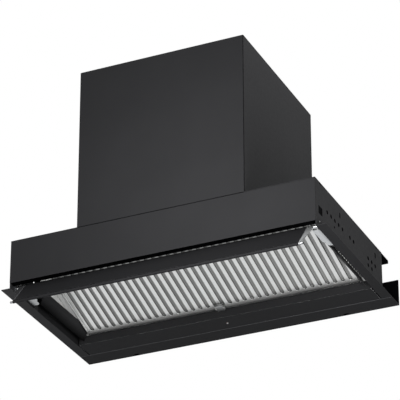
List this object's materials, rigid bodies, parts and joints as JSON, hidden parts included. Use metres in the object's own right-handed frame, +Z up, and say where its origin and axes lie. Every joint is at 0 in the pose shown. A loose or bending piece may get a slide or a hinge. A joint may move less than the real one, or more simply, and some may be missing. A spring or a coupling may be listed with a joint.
{
  "type": "built-in range hood",
  "caption": "Cabinet range hood: sheet-metal canopy with fold-out front flap, tilting ribbed grease filter, motor box and round duct collar.",
  "frame": {"origin": "on the plane of the cabinet's lower edge, at the middle of the canopy's front face", "axes": "+X to the right seen from the front, +Y towards the wall, +Z up; the trim's top face is at Z = 0"},
  "size_m": [0.598, 0.3616, 0.4718],
  "materials": {
    "black_paint": "satin black powder coat",
    "dark_steel": "black inner sheet, satin",
    "bright_steel": "bare zinc-coated steel",
    "filter_aluminium": "bright rolled aluminium",
    "chrome": "polished pins and rods",
    "grey_plastic": "grey moulded plastic",
    "dark_plastic": "black moulded plastic",
    "cast_aluminium": "cast motor housing",
    "board_green": "green circuit board with its parts",
    "clear_lens": "milky lens"
  },
  "bodies": {
    "hood": {"front_panel": "black_paint", "side_plate_left": "black_paint", "side_plate_right": "black_paint", "back_panel": "black_paint", "top_deck": "black_paint", "trim_left": "black_paint", "trim_right": "black_paint", "trim_rear": "black_paint", "rear_cover": "black_paint", "indicator_lens": "clear_lens", "guide_left": "dark_steel", "guide_right": "dark_steel", "plenum_liner": "bright_steel", "front_shield": "dark_steel", "filter_rail": "dark_steel", "seat_left": "bright_steel", "seat_right": "bright_steel", "hinge_bracket_left": "dark_plastic", "hinge_bracket_right": "dark_plastic", "flap_sensor": "dark_plastic", "motor_box_wrap": "black_paint", "motor_box_back": "black_paint", "motor_box_top": "black_paint", "outlet_collar": "dark_plastic", "damper_axle": "chrome", "scroll_wall": "dark_plastic", "scroll_cheek_left": "dark_plastic", "scroll_cheek_right": "dark_plastic", "scroll_feet": "bright_steel", "outlet_adaptor": "dark_plastic", "motor": "cast_aluminium", "motor_spider": "bright_steel", "control_box": "dark_plastic", "control_board": "board_green", "control_lid": "dark_plastic", "capacitor": "bright_steel", "cable_gland": "dark_plastic", "box_screws": "dark_steel", "scroll_screws": "chrome", "bracket_screws": "chrome"},
    "flap": {"flap_panel": "black_paint", "flap_end_left": "grey_plastic", "flap_end_right": "grey_plastic", "flap_hinge_rod": "chrome", "flap_edge_bar": "black_paint", "flap_catch_pins": "chrome", "flap_magnet": "chrome"},
    "filter": {"filter_frame": "filter_aluminium", "filter_mesh": "filter_aluminium", "filter_pad": "filter_aluminium", "filter_pivot_pins": "chrome"},
    "filter_latch": {"filter_latch": "filter_aluminium"},
    "impeller": {"impeller": "dark_plastic", "motor_shaft": "chrome"},
    "damper_left": {"damper_left": "grey_plastic"},
    "damper_right": {"damper_right": "grey_plastic"}
  },
  "joints": [
    {"name": "flap_hinge", "type": "hinge", "parent": "hood", "child": "flap", "pos_m": [0, 0.0195, 0.0063], "axis": [1, 0, 0], "range_deg": [0, 130]},
    {"name": "filter_tilt", "type": "hinge", "parent": "hood", "child": "filter", "pos_m": [0, 0.1017, 0.06819], "axis": [-1, 0, 0], "range_deg": [0, 40]},
    {"name": "filter_latch_slide", "type": "slide", "parent": "filter", "child": "filter_latch", "axis": [0, -0.9553, 0.2958], "range_m": [0, 0.005], "stiffness_N_per_m": 180, "springref_m": -0.006},
    {"name": "impeller_spin", "type": "hinge", "parent": "hood", "child": "impeller", "pos_m": [0, 0.144, 0.2306], "axis": [1, 0, 0], "continuous": true},
    {"name": "damper_left_swing", "type": "hinge", "parent": "hood", "child": "damper_left", "pos_m": [0, 0.152, 0.4036], "axis": [0, 1, 0], "range_deg": [0, 75]},
    {"name": "damper_right_swing", "type": "hinge", "parent": "hood", "child": "damper_right", "pos_m": [0, 0.152, 0.4036], "axis": [0, -1, 0], "range_deg": [0, 75]}
  ]
}
